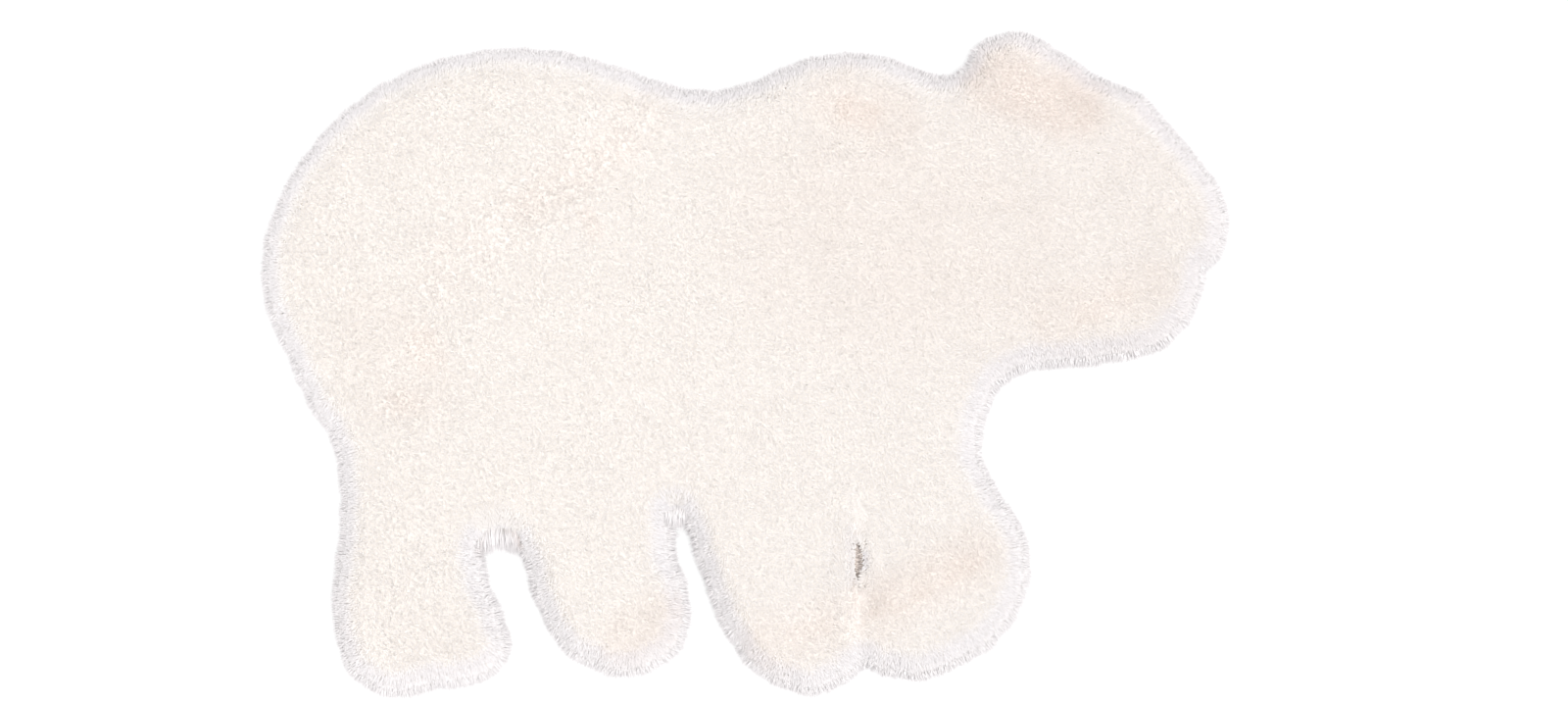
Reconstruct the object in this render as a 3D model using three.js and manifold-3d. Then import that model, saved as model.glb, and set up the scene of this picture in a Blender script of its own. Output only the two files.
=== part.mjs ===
// A plush rug cut to the outline of a bear seen from the side. It lies flat on its backing, and its pile
// stands all over the top and falls over the edge. Sizes are in millimetres, +X is towards the head and
// +Y towards the back.

import * as THREE from "three";
import { mergeVertices } from "three/addons/utils/BufferGeometryUtils.js";
import Module from "manifold-3d";

const wasm = await Module();
wasm.setup();

// Overall sizes
const PILE_TOP = 19; // height of the pile's surface above the floor
const OUTLINE_STEPS = 400; // points round the edge
const LATTICE = { length: 960, depth: 690, step: 15 }; // the pile's surface, wider than the outline

const SURFACE_LUMP = 0.7; // how far broad lumps raise and lower the pile's surface

// The tufts that push the edge in and out: waves of unlike lengths, each a whole number of times round it
const EDGE_TUFTS = [
  { count: 53, reach: 0.5 },
  { count: 89, reach: 0.8 },
  { count: 151, reach: 0.5 },
];

// The edge in section, from the flat underside out to the widest point and over onto the pile's surface
const EDGE_SECTION = [
  { inset: 6, height: 0 },
  { inset: 1, height: 2 },
  { inset: 0, height: 6 },
  { inset: 2.5, height: 11.5 },
  { inset: 8.5, height: 16.5 },
  { inset: 21, height: 20.6 },
];

// The outline, clockwise from the rump as seen from above
const RUMP_AND_BACK = [
  { at: "seat", x: -450, y: 102 },
  { at: "tail", x: -431, y: 168 },
  { at: "croup", x: -389, y: 229 },
  { at: "hip", x: -332, y: 273 },
  { at: "rump front", x: -278, y: 294 },
  { at: "rump top", x: -222, y: 302 },
  { at: "loin", x: -158, y: 295 },
  { at: "loin dip", x: -102, y: 277 },
  { at: "small of the back", x: -51, y: 261 },
  { at: "back", x: -9, y: 264 },
  { at: "shoulder blade", x: 37, y: 283 },
  { at: "shoulder bump", x: 58, y: 292 },
  { at: "shoulder top", x: 102, y: 297 },
  { at: "withers", x: 140, y: 291 },
  { at: "neck", x: 172, y: 277 },
];
const HEAD = [
  { at: "nape", x: 200, y: 278 },
  { at: "ear back", x: 222, y: 308 },
  { at: "ear top", x: 257, y: 318 },
  { at: "ear front", x: 290, y: 304 },
  { at: "forehead", x: 330, y: 276 },
  { at: "brow", x: 374, y: 256 },
  { at: "bridge", x: 405, y: 219 },
  { at: "muzzle top", x: 437, y: 179 },
  { at: "nose", x: 452, y: 138 },
  { at: "lip", x: 446, y: 107 },
  { at: "mouth", x: 430, y: 85 },
  { at: "chin front", x: 421, y: 55 },
  { at: "chin", x: 398, y: 23 },
  { at: "jaw", x: 368, y: 7 },
  { at: "jaw back", x: 309, y: -2 },
  { at: "throat", x: 252, y: -10 },
];
const CHEST_AND_FRONT_LEGS = [
  { at: "neck front", x: 227, y: -38 },
  { at: "breast", x: 218, y: -73 },
  { at: "elbow", x: 221, y: -98 },
  { at: "forearm", x: 234, y: -120 },
  { at: "knee", x: 254, y: -154 },
  { at: "wrist", x: 261, y: -191 },
  { at: "toes", x: 243, y: -241 },
  { at: "front of sole", x: 207, y: -272 },
  { at: "sole", x: 160, y: -290 },
  { at: "cleft side", x: 124, y: -286 },
  { at: "cleft", x: 109, y: -278 },
  { at: "far cleft side", x: 98, y: -290 },
  { at: "far sole", x: 62, y: -304 },
  { at: "far heel", x: 18, y: -290 },
  { at: "far pastern", x: -13, y: -255 },
  { at: "far shin", x: -36, y: -204 },
  { at: "far elbow", x: -50, y: -161 },
];
const BELLY_AND_HIND_LEGS = [
  { at: "belly", x: -63, y: -137 },
  { at: "far stifle", x: -64, y: -172 },
  { at: "far shank", x: -53, y: -208 },
  { at: "far hind toes", x: -50, y: -244 },
  { at: "far hind sole front", x: -70, y: -275 },
  { at: "far hind sole", x: -107, y: -288 },
  { at: "far hind heel", x: -143, y: -279 },
  { at: "far hind pastern", x: -165, y: -263 },
  { at: "far hock", x: -188, y: -226 },
  { at: "far thigh", x: -203, y: -181 },
  { at: "groin", x: -221, y: -157 },
  { at: "thigh", x: -237, y: -168 },
  { at: "shank", x: -235, y: -201 },
  { at: "hind pastern", x: -219, y: -235 },
  { at: "hind toes", x: -213, y: -268 },
  { at: "hind sole front", x: -232, y: -290 },
  { at: "hind sole", x: -276, y: -299 },
  { at: "hind heel", x: -321, y: -306 },
  { at: "heel corner", x: -354, y: -289 },
  { at: "heel back", x: -371, y: -252 },
  { at: "hock", x: -375, y: -208 },
  { at: "gaskin", x: -370, y: -154 },
  { at: "back of the thigh", x: -377, y: -81 },
  { at: "buttock", x: -404, y: -37 },
  { at: "tail root", x: -421, y: 1 },
  { at: "below the seat", x: -443, y: 48 },
];

// Shallow places where the pile is pressed or brushed flat
const HOLLOWS = [
  { at: "rump ruffle, top", x: -130, y: 205, radius: 60, depth: 1.4 },
  { at: "rump ruffle, foot", x: -235, y: 120, radius: 55, depth: 1.4 },
  { at: "flank", x: -300, y: 5, radius: 35, depth: 1.2 },
  { at: "shoulder", x: 110, y: 240, radius: 50, depth: 1.6 },
  { at: "forehead", x: 285, y: 250, radius: 45, depth: 1.8 },
  { at: "cheek", x: 345, y: 50, radius: 45, depth: 1.5 },
  { at: "front paw", x: 180, y: -215, radius: 45, depth: 1.8 },
  { at: "far front paw", x: 60, y: -250, radius: 40, depth: 1.4 },
  { at: "far hind paw", x: -110, y: -245, radius: 35, depth: 1.4 },
];

// The cut between the two front legs, whose pile meets over all but a short open slot
const CUT = { top: { x: 98, y: -130 }, foot: { x: 109, y: -278 }, halfWidth: 9, depth: 5 };
const SLOT = { x: 105, low: -207, high: -160, width: 7 };
const SLOT_STEPS = 12; // points along each side of the slot

const CREAM = 0xfaf3ed;

/** How far the tufts push the edge inwards at a share of the way round it. */
function tuftAt(share) {
  let push = 0;
  for (const { count, reach } of EDGE_TUFTS) {
    push += reach * Math.sin(2 * Math.PI * count * share + count);
  }
  return push;
}

/** The height, within -1 to 1, of a wave of two unlike lengths, so that it doesn't look regular. */
function ripple(distance, length) {
  const turn = (2 * Math.PI * distance) / length;
  return 0.65 * Math.sin(turn) + 0.35 * Math.sin(1.73 * turn + 2.1);
}

/** Points round the edge at its widest, with its tufts, counter-clockwise as faces need them. */
function edgePoints() {
  const landmarks = [...RUMP_AND_BACK, ...HEAD, ...CHEST_AND_FRONT_LEGS, ...BELLY_AND_HIND_LEGS];
  const through = landmarks.map(({ x, y }) => new THREE.Vector3(x, y, 0));
  const curve = new THREE.CatmullRomCurve3(through, true, "centripetal");
  curve.arcLengthDivisions = 10 * OUTLINE_STEPS;
  const points = [];
  for (let step = OUTLINE_STEPS; step > 0; step--) {
    const share = (step % OUTLINE_STEPS) / OUTLINE_STEPS;
    const { x, y } = curve.getPointAt(share);
    const tangent = curve.getTangentAt(share);
    const inward = new THREE.Vector2(tangent.y, -tangent.x);
    const point = new THREE.Vector2(x, y).addScaledVector(inward, tuftAt(share));
    points.push({ point, inward });
  }
  return points;
}

/** A closed manifold solid from corner positions and triangles of their numbers. */
function solidFrom(positions, triangles) {
  const mesh = new wasm.Mesh({
    numProp: 3,
    vertProperties: new Float32Array(positions),
    triVerts: new Uint32Array(triangles),
  });
  return new wasm.Manifold(mesh);
}

/** A closed manifold solid from a three.js geometry. */
function solidFromGeometry(geometry) {
  const bare = geometry.clone();
  bare.deleteAttribute("normal");
  bare.deleteAttribute("uv");
  const merged = mergeVertices(bare, 1e-4);
  return solidFrom(merged.attributes.position.array, merged.index.array);
}

/** The pelt with its rounded edge: a loop for each row of the edge's section, and two caps. */
function roundedPelt() {
  const edge = edgePoints();
  const count = edge.length;
  const loops = EDGE_SECTION.map(({ inset }) =>
    edge.map(({ point, inward }) => point.clone().addScaledVector(inward, inset)),
  );
  const positions = loops.flatMap((loop, row) => {
    const { height } = EDGE_SECTION[row];
    return loop.flatMap(({ x, y }) => [x, y, height]);
  });
  const triangles = [];
  for (let row = 0; row + 1 < loops.length; row++) {
    const [low, high] = [row * count, (row + 1) * count];
    for (let step = 0; step < count; step++) {
      const next = (step + 1) % count;
      triangles.push(low + step, low + next, high + next, low + step, high + next, high + step);
    }
  }
  for (const [a, b, c] of THREE.ShapeUtils.triangulateShape(loops[0], [])) {
    triangles.push(a, c, b);
  }
  const top = (loops.length - 1) * count;
  for (const [a, b, c] of THREE.ShapeUtils.triangulateShape(loops.at(-1), [])) {
    triangles.push(top + a, top + b, top + c);
  }
  return solidFrom(positions, triangles);
}

/** How far a place is from the cut between the front legs, in half widths of its crease, 1 at most. */
function distanceFromCut(x, y) {
  const along = THREE.MathUtils.clamp((CUT.top.y - y) / (CUT.top.y - CUT.foot.y), 0, 1);
  const cutX = THREE.MathUtils.lerp(CUT.top.x, CUT.foot.x, along);
  const cutY = THREE.MathUtils.lerp(CUT.top.y, CUT.foot.y, along);
  return Math.min(Math.hypot(x - cutX, y - cutY) / CUT.halfWidth, 1);
}

/** The height of the pile's surface: broad lumps, less the hollows and the crease over the cut. */
function pileHeight(x, y) {
  const lump = 0.5 * (ripple(x + 0.3 * y, 95) + ripple(y - 0.2 * x, 80));
  let height = PILE_TOP + SURFACE_LUMP * lump;
  for (const hollow of HOLLOWS) {
    const share = Math.min(Math.hypot(x - hollow.x, y - hollow.y) / hollow.radius, 1);
    height -= hollow.depth * (1 - share * share) ** 2;
  }
  const fromCut = distanceFromCut(x, y);
  return height - CUT.depth * (1 - fromCut * fromCut);
}

/** A slab wider than the rug, with the pile's uneven surface on top. */
function unevenSlab() {
  const { length, depth, step } = LATTICE;
  const slab = new THREE.BoxGeometry(length, depth, PILE_TOP, length / step, depth / step, 1);
  const position = slab.attributes.position;
  for (let i = 0; i < position.count; i++) {
    const onTop = position.getZ(i) > 0;
    position.setZ(i, onTop ? pileHeight(position.getX(i), position.getY(i)) : -PILE_TOP);
  }
  return solidFromGeometry(slab);
}

/** The open slot in the cut: a pointed lens, through the whole thickness. */
function slotCutter() {
  const lens = new THREE.Shape();
  const length = SLOT.high - SLOT.low;
  for (let step = 0; step < 2 * SLOT_STEPS; step++) {
    const side = step < SLOT_STEPS ? 1 : -1;
    const share = step < SLOT_STEPS ? step / SLOT_STEPS : 2 - step / SLOT_STEPS;
    const x = SLOT.x + (side * SLOT.width * Math.sin(share * Math.PI)) / 2;
    lens[step ? "lineTo" : "moveTo"](x, SLOT.low + share * length);
  }
  const cutter = new THREE.ExtrudeGeometry(lens, { depth: 3 * PILE_TOP, bevelEnabled: false });
  cutter.translate(0, 0, -PILE_TOP);
  return solidFromGeometry(cutter);
}

/** A three.js geometry of a finished solid, centred over its own box. */
function geometryFrom(solid) {
  const { vertProperties, triVerts } = solid.getMesh();
  const geometry = new THREE.BufferGeometry();
  geometry.setAttribute("position", new THREE.BufferAttribute(vertProperties, 3));
  geometry.setIndex(new THREE.BufferAttribute(triVerts, 1));
  geometry.computeBoundingBox();
  const centre = geometry.boundingBox.getCenter(new THREE.Vector3());
  geometry.translate(-centre.x, -centre.y, -geometry.boundingBox.min.z);
  geometry.computeVertexNormals();
  return geometry;
}

const pelt = roundedPelt().intersect(unevenSlab()).subtract(slotCutter());
const plush = new THREE.MeshStandardMaterial({ color: CREAM, roughness: 1, metalness: 0 });
const rug = new THREE.Mesh(geometryFrom(pelt), plush);
rug.name = "rug";

const group = new THREE.Group();
group.add(rug);

export default group;
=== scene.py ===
"""A cream plush rug cut to the outline of a bear, lying flat and seen from almost straight above.

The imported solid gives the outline, the rounded edge and the height of the pile. Inside it this script builds the
backing with its dense underfur and, rooted in that, the pile: joined meshes of tapered tufts and finer hairs that
are combed, clumped and ruffled as the real pile lies. All lengths are in metres.
"""

import logging
import math
from dataclasses import dataclass, field, replace
from enum import Enum

import bmesh
import bpy
import numpy as np
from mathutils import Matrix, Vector
from mathutils.bvhtree import BVHTree


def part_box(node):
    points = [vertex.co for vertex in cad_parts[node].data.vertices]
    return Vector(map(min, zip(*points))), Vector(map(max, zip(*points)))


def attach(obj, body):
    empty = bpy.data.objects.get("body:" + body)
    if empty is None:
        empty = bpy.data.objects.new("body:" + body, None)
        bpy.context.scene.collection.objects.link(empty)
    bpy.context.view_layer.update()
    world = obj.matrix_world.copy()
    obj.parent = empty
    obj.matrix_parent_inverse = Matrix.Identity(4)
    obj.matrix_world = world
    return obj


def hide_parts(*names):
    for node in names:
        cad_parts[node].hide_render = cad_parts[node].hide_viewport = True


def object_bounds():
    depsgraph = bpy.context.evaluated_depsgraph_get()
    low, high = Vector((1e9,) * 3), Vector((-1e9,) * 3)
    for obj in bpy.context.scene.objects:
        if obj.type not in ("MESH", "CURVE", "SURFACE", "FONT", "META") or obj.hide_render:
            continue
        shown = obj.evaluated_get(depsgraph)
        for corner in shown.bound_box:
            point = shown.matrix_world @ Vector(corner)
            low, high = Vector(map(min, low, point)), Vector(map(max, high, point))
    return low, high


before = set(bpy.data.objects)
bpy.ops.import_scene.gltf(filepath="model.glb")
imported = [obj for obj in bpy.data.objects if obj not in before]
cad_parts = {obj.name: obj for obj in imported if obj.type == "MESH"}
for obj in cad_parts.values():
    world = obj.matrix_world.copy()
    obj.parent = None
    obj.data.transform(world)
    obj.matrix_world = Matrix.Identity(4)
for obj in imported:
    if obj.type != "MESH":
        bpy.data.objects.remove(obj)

log = logging.getLogger("rug")

CAD_BOX = [list(corner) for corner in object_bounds()]
RUG_NODE = "rug"
BODY = "root"
CLOSE = 1e-6  # points nearer than this are the same point


class HairForm(Enum):
    """How one hair of the pile is made."""

    TUFT = "tuft"
    HAIR = "hair"


class Area(Enum):
    """The parts of the rug that each carry a piece of the pile."""

    RUMP = "pile_rump"
    FLANK = "pile_flank"
    SHOULDER = "pile_shoulder"
    HEAD = "pile_head"
    HIND_LEGS = "pile_hind_legs"
    FRONT_LEGS = "pile_front_legs"


def deselect_all() -> None:
    """Leaves nothing selected, so that an operator acts only on what is chosen next."""
    bpy.ops.object.select_all(action="DESELECT")


def make_active(piece: bpy.types.Object) -> None:
    """Selects one object alone and makes it the active one.

    Args:
        piece: The object that the next operators act on.
    """
    deselect_all()
    piece.select_set(True)
    bpy.context.view_layer.objects.active = piece


def smoothstep(low: float, high: float, value: np.ndarray) -> np.ndarray:
    """Rises softly from 0 at low to 1 at high."""
    share = np.clip((value - low) / (high - low), 0.0, 1.0)
    return share * share * (3.0 - 2.0 * share)


def unit(vectors: np.ndarray) -> np.ndarray:
    """Scales the vectors along the last axis to length 1."""
    return vectors / np.maximum(np.linalg.norm(vectors, axis=-1, keepdims=True), CLOSE)


def put_values(mesh: bpy.types.Mesh, values: dict[str, np.ndarray]) -> None:
    """Gives a mesh one attribute for each kind of number that its points carry.

    Args:
        mesh: The mesh, which is changed.
        values: The attributes by name, with one number for each point.
    """
    for name, value in values.items():
        attribute = mesh.attributes.new(name, "FLOAT", "POINT")
        attribute.data.foreach_set("value", value.astype(np.float32))


def plain_material(name: str, roughness: float, specular: float) -> tuple[bpy.types.Material, bpy.types.Node]:
    """Makes a material that has no colour of its own yet.

    Args:
        name: What the material is called.
        roughness: How rough it is.
        specular: How strongly it mirrors.

    Returns:
        The material and its shader.
    """
    material = bpy.data.materials.new(name)
    material.use_nodes = True
    shader = material.node_tree.nodes["Principled BSDF"]
    shader.inputs["Roughness"].default_value = roughness
    shader.inputs["Specular IOR Level"].default_value = specular
    return material, shader


@dataclass(frozen=True)
class SoftNoise:
    """Smooth seeded noise over the plan of the rug."""

    cell: float
    seed: int
    size: int = 256

    def at(self, x: np.ndarray, y: np.ndarray) -> np.ndarray:
        """Reads the noise.

        Args:
            x: Places along the rug.
            y: Places across the rug.

        Returns:
            A number from -1 to 1 for each place.
        """
        table = np.random.default_rng(self.seed).uniform(-1.0, 1.0, (self.size, self.size))
        u, v = x / self.cell, y / self.cell
        column, row = np.floor(u).astype(int), np.floor(v).astype(int)
        s, t = u - column, v - row
        s, t = s * s * (3 - 2 * s), t * t * (3 - 2 * t)
        near, far = column % self.size, (column + 1) % self.size
        low, high = row % self.size, (row + 1) % self.size
        bottom = table[near, low] * (1 - s) + table[far, low] * s
        top = table[near, high] * (1 - s) + table[far, high] * s
        return bottom * (1 - t) + top * t


@dataclass(frozen=True)
class ClumpField:
    """Clumps that the hairs of the pile gather into, one in each cell of a shaken grid."""

    cell: float
    seed: int
    size: int = 512

    def nearest(self, x: np.ndarray, y: np.ndarray) -> tuple[np.ndarray, np.ndarray, np.ndarray]:
        """Finds the clump that each hair belongs to.

        Args:
            x: The roots' places along the rug.
            y: The roots' places across the rug.

        Returns:
            The x and y of each hair's clump, and a random number from 0 to 1 that its clump has.
        """
        shaken = np.random.default_rng(self.seed).uniform(0.0, 1.0, (3, self.size, self.size))
        column, row = np.floor(x / self.cell).astype(int), np.floor(y / self.cell).astype(int)
        best = np.full(x.shape, np.inf)
        found = [np.zeros(x.shape) for _ in range(3)]
        for di in (-1, 0, 1):
            for dj in (-1, 0, 1):
                i, j = (column + di) % self.size, (row + dj) % self.size
                cx = (column + di + shaken[0, i, j]) * self.cell
                cy = (row + dj + shaken[1, i, j]) * self.cell
                distance = (x - cx) ** 2 + (y - cy) ** 2
                closer = distance < best
                best = np.where(closer, distance, best)
                for slot, value in zip(range(3), (cx, cy, shaken[2, i, j])):
                    found[slot] = np.where(closer, value, found[slot])
        return found[0], found[1], found[2]


@dataclass(frozen=True)
class Line:
    """A line on the plan of the rug, from start to end."""

    start: tuple[float, float]
    end: tuple[float, float]

    def offset(self, x: np.ndarray, y: np.ndarray) -> tuple[np.ndarray, np.ndarray, np.ndarray]:
        """Measures places from the nearest point of the line.

        Args:
            x: Places along the rug.
            y: Places across the rug.

        Returns:
            The x and y of each place from its nearest point, and how far along the line that is, from 0 to 1.
        """
        dx, dy = self.end[0] - self.start[0], self.end[1] - self.start[1]
        length = max(dx * dx + dy * dy, CLOSE**2)
        along = np.clip(((x - self.start[0]) * dx + (y - self.start[1]) * dy) / length, 0.0, 1.0)
        return x - self.start[0] - along * dx, y - self.start[1] - along * dy, along

    def distance(self, x: np.ndarray, y: np.ndarray) -> np.ndarray:
        """Measures how far places are from the line."""
        off_x, off_y, _ = self.offset(x, y)
        return np.hypot(off_x, off_y)


@dataclass(frozen=True)
class Patch:
    """A place where the pile is ruffled, warmer, painted darker and cooler as shade, or longer than elsewhere, fading
    out round its line.
    """

    name: str
    line: Line
    radius: float
    ruffle: float = 0.0
    warmth: float = 0.0
    shade: float = 0.0
    longer: float = 0.0
    solid: float = 0.25

    def cover(self, x: np.ndarray, y: np.ndarray) -> np.ndarray:
        """Rates how much of the patch is felt at each place."""
        return 1.0 - smoothstep(self.solid * self.radius, self.radius, self.line.distance(x, y))


@dataclass(frozen=True)
class Parting:
    """A line along which the pile parts, so that a thin crease shows."""

    line: Line
    push: float
    spread: float = 0.0013


@dataclass(frozen=True)
class Slit:
    """The short opening between the front legs, which the pile on both sides almost closes."""

    line: Line = Line((0.1039, -0.2131), (0.1039, -0.1661))
    widest_at: float = -0.1860
    half_slot: float = 0.0035
    opening: float = 0.0058
    reach_up: float = 0.0200
    reach_down: float = 0.0220
    lens_power: float = 1.7
    closed_from: float = 0.8
    closed_overhang: float = 0.0012
    end_fade: float = 0.0040
    surround: float = 0.0240
    near_share: float = 0.45
    apart_shares: tuple[float, float] = (1.05, 1.45)
    bridge: float = 0.0090
    trough: float = 0.0010

    def nearness(self, x: np.ndarray, y: np.ndarray) -> np.ndarray:
        """Rates how near places are to the slit, from 0 beyond its surround to 1 beside it."""
        return 1.0 - smoothstep(self.near_share * self.surround, self.surround, self.line.distance(x, y))

    def apart(self, x: np.ndarray, y: np.ndarray) -> np.ndarray:
        """Rates how far places are from the slit, from 0 near it to 1 where the pile knows only the outer edge."""
        low, high = (share * self.surround for share in self.apart_shares)
        return smoothstep(low, high, self.line.distance(x, y))

    def overhang(self, x: np.ndarray, y: np.ndarray) -> np.ndarray:
        """How far the pile hangs over the slot's edge: hardly at all on one side, and on the other up to a lens.

        Args:
            x: Places along the rug.
            y: Places across the rug.

        Returns:
            The lengths.
        """
        rise = y - self.widest_at
        share = np.clip(np.where(rise > 0.0, rise / self.reach_up, -rise / self.reach_down), 0.0, 1.0)
        far_side = 2.0 * self.half_slot - self.opening * (1.0 - share**self.lens_power)
        low, high = self.line.start[1], self.line.end[1]
        past_end = np.abs(y - 0.5 * (low + high)) - 0.5 * (high - low)
        far_side *= 1.0 - smoothstep(0.0, self.end_fade, past_end)
        closed = self.closed_overhang * smoothstep(self.closed_from, 1.0, share)
        return np.where(x > self.line.start[0], far_side, closed)


SLIT = Slit()

PATCHES = (
    Patch("body", Line((-0.250, 0.060), (0.300, 0.120)), 0.600, ruffle=0.025),
    Patch("rump ruffle", Line((-0.280, 0.078), (-0.104, 0.218)), 0.048, ruffle=0.9, warmth=0.18),
    Patch("rump ruffle, core", Line((-0.205, 0.140), (-0.120, 0.200)), 0.034, ruffle=0.5, warmth=0.36),
    Patch("rump ruffle's spur", Line((-0.150, 0.135), (-0.140, 0.116)), 0.012, ruffle=0.9, warmth=0.5),
    Patch("flank, upper spot", Line((-0.300, 0.012), (-0.294, -0.002)), 0.026, ruffle=0.8, warmth=0.60),
    Patch("flank, lower spot", Line((-0.322, -0.044), (-0.308, -0.046)), 0.022, ruffle=0.7, warmth=0.60),
    Patch("flank", Line((-0.340, 0.020), (-0.310, -0.030)), 0.070, ruffle=0.22, warmth=0.2),
    Patch("shoulder", Line((0.088, 0.240), (0.134, 0.222)), 0.050, ruffle=0.10, warmth=0.50),
    Patch("shoulder, core", Line((0.094, 0.236), (0.116, 0.228)), 0.027, warmth=1.0),
    Patch("ear", Line((0.240, 0.261), (0.305, 0.235)), 0.052, ruffle=0.10, warmth=0.95),
    Patch("ear, core", Line((0.264, 0.255), (0.284, 0.247)), 0.030, ruffle=0.25, warmth=1.4),
    Patch("head", Line((0.300, 0.220), (0.330, 0.080)), 0.200, warmth=0.18),
    Patch("neck", Line((0.090, 0.120), (0.220, 0.110)), 0.170, warmth=0.30),
    Patch("chin", Line((0.285, 0.040), (0.372, 0.066)), 0.044, ruffle=0.12, warmth=0.52),
    Patch("chin, core", Line((0.312, 0.040), (0.350, 0.052)), 0.022, warmth=0.80),
    Patch("front paw", Line((0.112, -0.236), (0.206, -0.186)), 0.042, ruffle=0.20, warmth=0.52),
    Patch("front paw, core", Line((0.120, -0.232), (0.205, -0.190)), 0.024, warmth=0.82),
    Patch("far front paw", Line((0.024, -0.262), (0.078, -0.246)), 0.040, ruffle=0.15, warmth=0.40),
    Patch("far front paw, core", Line((0.044, -0.258), (0.076, -0.246)), 0.020, warmth=0.62),
    Patch("far hind paw", Line((-0.108, -0.256), (-0.074, -0.240)), 0.038, ruffle=0.15, warmth=0.45),
    Patch("hind paw", Line((-0.345, -0.235), (-0.270, -0.262)), 0.050, ruffle=0.10, warmth=0.05),
    # Painted shade: below the slit the pile is made warmer and darker, beside it darker and cooler
    Patch("below the slit", Line((0.1035, -0.2230), (0.1040, -0.2500)), 0.012, warmth=0.70),
    Patch("beside the slit", Line((0.0960, -0.2080), (0.0960, -0.1600)), 0.0080, shade=0.05),
    Patch("the slit's far side", Line((0.1085, -0.1940), (0.1090, -0.1840)), 0.0060, shade=0.12),
    Patch("first gap's top", Line((-0.2380, -0.1540), (-0.2120, -0.1550)), 0.017, longer=0.015),
    Patch("second gap's top", Line((-0.0670, -0.1360), (-0.0610, -0.1360)), 0.014, longer=0.013),
    # Painted shade at the top of the first gap, in its notch and its far corner
    Patch("notch", Line((-0.2140, -0.1680), (-0.2075, -0.1770)), 0.0075, shade=0.75),
    Patch("notch's far corner", Line((-0.2440, -0.1740), (-0.2415, -0.1830)), 0.006, shade=0.4),
)

PARTINGS = (
    Parting(Line((0.1002, -0.1500), (0.1005, -0.1700)), 0.0009, 0.0012),
    Parting(Line((0.0992, -0.2060), (0.0966, -0.2280)), 0.0010, 0.0013),
    Parting(Line((0.0966, -0.2280), (0.0957, -0.2400)), 0.0005, 0.0013),
    Parting(Line((0.1080, -0.1900), (0.1190, -0.1893)), 0.0007, 0.0010),
    Parting(Line((-0.2000, 0.1150), (-0.1620, 0.1290)), 0.0011, 0.0014),
    Parting(Line((-0.1500, 0.1200), (-0.1460, 0.1080)), 0.0011, 0.0014),
    Parting(Line((-0.1460, 0.1080), (-0.1400, 0.1050)), 0.0011, 0.0014),
)


@dataclass
class Creases:
    """All the partings of the pile: the named ones, and the many short ones of the ruffled patches."""

    spacing: float = 0.0042
    length: tuple[float, float] = (0.0050, 0.0150)
    angle: float = math.radians(38.0)
    angle_spread: float = math.radians(28.0)
    push: tuple[float, float] = (0.0003, 0.0010)
    faintest: float = 0.25
    full_cover: float = 0.5
    reach: float = 3.0
    end_power: int = 4
    least_off: float = 1e-7
    seed: int = 61
    partings: list[Parting] = field(default_factory=list)

    def __post_init__(self) -> None:
        """Spreads the short partings over the ruffled patches."""
        rng = np.random.default_rng(self.seed)
        self.partings = list(PARTINGS)
        for patch in PATCHES:
            if patch.ruffle <= 0.0:
                continue
            low = np.minimum(patch.line.start, patch.line.end) - patch.radius
            high = np.maximum(patch.line.start, patch.line.end) + patch.radius
            count = int(np.prod(high - low) / self.spacing**2)
            places = rng.uniform(low, high, (count, 2))
            chance = rng.uniform(0.0, 1.0, count)
            turns = self.angle + self.angle_spread * rng.normal(0.0, 1.0, count)
            halves = 0.5 * rng.uniform(*self.length, count)
            pushes = rng.uniform(*self.push, count)
            covers = patch.cover(places[:, 0], places[:, 1]) * patch.ruffle
            kept = [values[chance < covers] for values in (places, turns, halves, pushes, covers)]
            for place, turn, half, push, cover in zip(*kept):
                step = half * np.array([math.cos(turn), math.sin(turn)])
                share = self.faintest + (1.0 - self.faintest) * min(cover / self.full_cover, 1.0)
                self.partings.append(Parting(Line(tuple(place - step), tuple(place + step)), push * share))

    def part(self, x: np.ndarray, y: np.ndarray) -> tuple[np.ndarray, np.ndarray, np.ndarray]:
        """Works out how the partings push hairs aside.

        Args:
            x: The tips' places along the rug.
            y: The tips' places across the rug.

        Returns:
            The x and y of each push, and how near each hair is to a crease, from 0 to 1.
        """
        push_x, push_y, near = np.zeros(x.shape), np.zeros(x.shape), np.zeros(x.shape)
        for parting in self.partings:
            room = self.reach * parting.spread
            (x0, y0), (x1, y1) = parting.line.start, parting.line.end
            close = (x > min(x0, x1) - room) & (x < max(x0, x1) + room)
            close = np.nonzero(close & (y > min(y0, y1) - room) & (y < max(y0, y1) + room))[0]
            off_x, off_y, along = parting.line.offset(x[close], y[close])
            off = np.maximum(np.hypot(off_x, off_y), self.least_off)
            fade = np.exp(-((off / parting.spread) ** 2)) * (1.0 - (2.0 * along - 1.0) ** self.end_power)
            push_x[close] += parting.push * fade * off_x / off
            push_y[close] += parting.push * fade * off_y / off
            near[close] = np.maximum(near[close], fade * min(1.0, parting.push / self.push[1]))
        return push_x, push_y, near


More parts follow.
